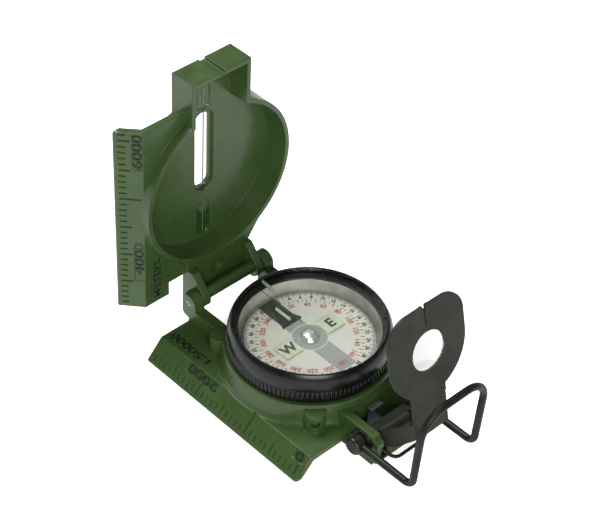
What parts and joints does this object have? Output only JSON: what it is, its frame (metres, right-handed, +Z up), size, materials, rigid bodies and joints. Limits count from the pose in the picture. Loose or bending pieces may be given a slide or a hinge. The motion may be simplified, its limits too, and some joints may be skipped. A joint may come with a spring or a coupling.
{
  "type": "lensatic sighting compass",
  "caption": "Folding sighting compass: green ruled base and cover, glazed turning bezel, floating dial, lens bracket and wire thumb loop.",
  "frame": {"origin": "point of the resting plane directly under the dial's pivot", "axes": "+Z up along the dial's axis, +Y from the thumb loop to the cover hinge, +X to the right of someone sighting along +Y"},
  "size_m": [0.0566, 0.1027, 0.0855],
  "materials": {
    "olive_paint": "satin",
    "bare_aluminium": "satin",
    "black_anodised": "satin",
    "clear_glass": "polished",
    "clear_resin": "gloss",
    "black_rubber": "matte",
    "black_steel": "satin",
    "plain_steel": "satin",
    "dial_white": "matte",
    "arrow_black": "matte",
    "luminous": "gloss",
    "brass": "satin",
    "clear_hub": "gloss",
    "jewel": "polished"
  },
  "bodies": {
    "base": {"base_casting": "olive_paint", "capsule_cup": "bare_aluminium", "lower_crystal": "clear_glass", "crystal_gasket": "black_rubber", "retaining_ring": "black_anodised", "capsule_screws": "plain_steel", "pivot_post": "plain_steel", "bezel_click_spring": "plain_steel", "lever_pin": "plain_steel", "bracket_pin": "black_steel", "hinge_pin_left": "plain_steel", "hinge_pin_right": "plain_steel", "loop_rivet_left": "black_steel", "loop_rivet_right": "black_steel", "loop_washer_left": "black_steel", "loop_washer_right": "black_steel"},
    "cover": {"cover_casting": "olive_paint", "sighting_wire": "black_steel", "upper_light": "luminous", "upper_resin": "clear_resin", "lower_light": "luminous", "lower_resin": "clear_resin"},
    "bezel": {"bezel_ring": "black_anodised", "bezel_crystal": "clear_glass", "bezel_seal": "black_rubber", "bezel_vial": "luminous"},
    "lifter": {"dial_lifter": "brass"},
    "dial": {"dial_card": "dial_white", "dial_hub": "clear_hub", "dial_jewel": "jewel", "dial_magnet": "plain_steel", "north_arrow": "arrow_black", "north_vial": "luminous", "east_light": "luminous", "east_window": "clear_resin", "west_light": "luminous", "west_window": "clear_resin"},
    "lever": {"lock_lever": "plain_steel"},
    "bracket": {"lens_bracket": "black_steel", "sight_lens": "clear_glass"},
    "loop": {"thumb_loop": "plain_steel"},
    "bail": {"lanyard_bail": "black_steel"}
  },
  "joints": [
    {"name": "cover_hinge", "type": "hinge", "parent": "base", "child": "cover", "pos_m": [0, 0.0347, 0.01285], "axis": [1, 0, 0], "range_deg": [-90, 90]},
    {"name": "lens_bracket_hinge", "type": "hinge", "parent": "base", "child": "bracket", "pos_m": [0, -0.0352, 0.008], "axis": [1, 0, 0], "range_deg": [-76.5, 0]},
    {"name": "thumb_loop_hinge", "type": "hinge", "parent": "base", "child": "loop", "pos_m": [0, -0.032, 0.0063], "axis": [1, 0, 0], "range_deg": [-90, 0]},
    {"name": "lock_lever_hinge", "type": "hinge", "parent": "base", "child": "lever", "pos_m": [0, -0.0233, 0.0027], "axis": [1, 0, 0], "range_deg": [-0.1, 1.6]},
    {"name": "dial_lift", "type": "slide", "parent": "base", "child": "lifter", "axis": [0, 0, 1], "range_m": [0, 0.0006]},
    {"name": "dial_spin", "type": "hinge", "parent": "lifter", "child": "dial", "pos_m": [0, 0, 0.0144], "axis": [0, 0, 1], "continuous": true},
    {"name": "bezel_turn", "type": "hinge", "parent": "base", "child": "bezel", "pos_m": [0, 0, 0.017], "axis": [0, 0, 1], "continuous": true},
    {"name": "lanyard_bail_swing", "type": "hinge", "parent": "base", "child": "bail", "pos_m": [0, -0.0368, 0.0052], "axis": [1, 0, 0], "range_deg": [-60, 0]}
  ],
  "couplings": [
    {"joint": "thumb_loop_hinge", "follows": "lens_bracket_hinge", "ratio": 1.1764},
    {"joint": "lock_lever_hinge", "follows": "lens_bracket_hinge", "ratio": -0.0193},
    {"joint": "dial_lift", "follows": "lens_bracket_hinge", "m_per_rad": -0.000449}
  ]
}
